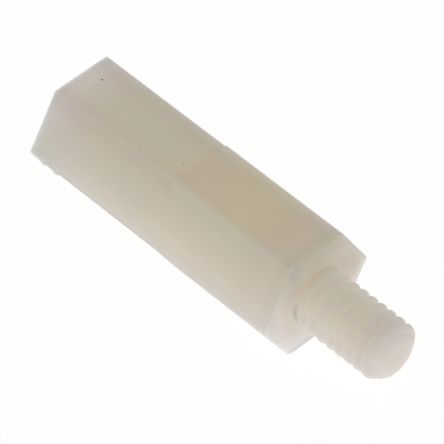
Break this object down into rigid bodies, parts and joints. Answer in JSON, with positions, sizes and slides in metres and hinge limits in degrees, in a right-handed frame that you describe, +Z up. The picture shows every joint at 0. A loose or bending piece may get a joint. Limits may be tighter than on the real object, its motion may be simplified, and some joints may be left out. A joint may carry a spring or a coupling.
{
  "type": "hex standoff",
  "caption": "Male-female hexagon standoff in natural nylon: a long hexagonal body with a threaded stud on one end and a threaded socket in the other.",
  "frame": {"origin": "on the axis, in the plane of the shoulder where the stud leaves the hexagon", "axes": "+X along the axis and out of the stud, +Z up with the part lying on one flat, +Y towards a corner of the hexagon"},
  "size_m": [0.0253, 0.008, 0.007],
  "materials": {
    "natural_nylon": "satin, milky and slightly translucent, as moulded"
  },
  "bodies": {
    "root": {"standoff": "natural_nylon"}
  },
  "joints": []
}
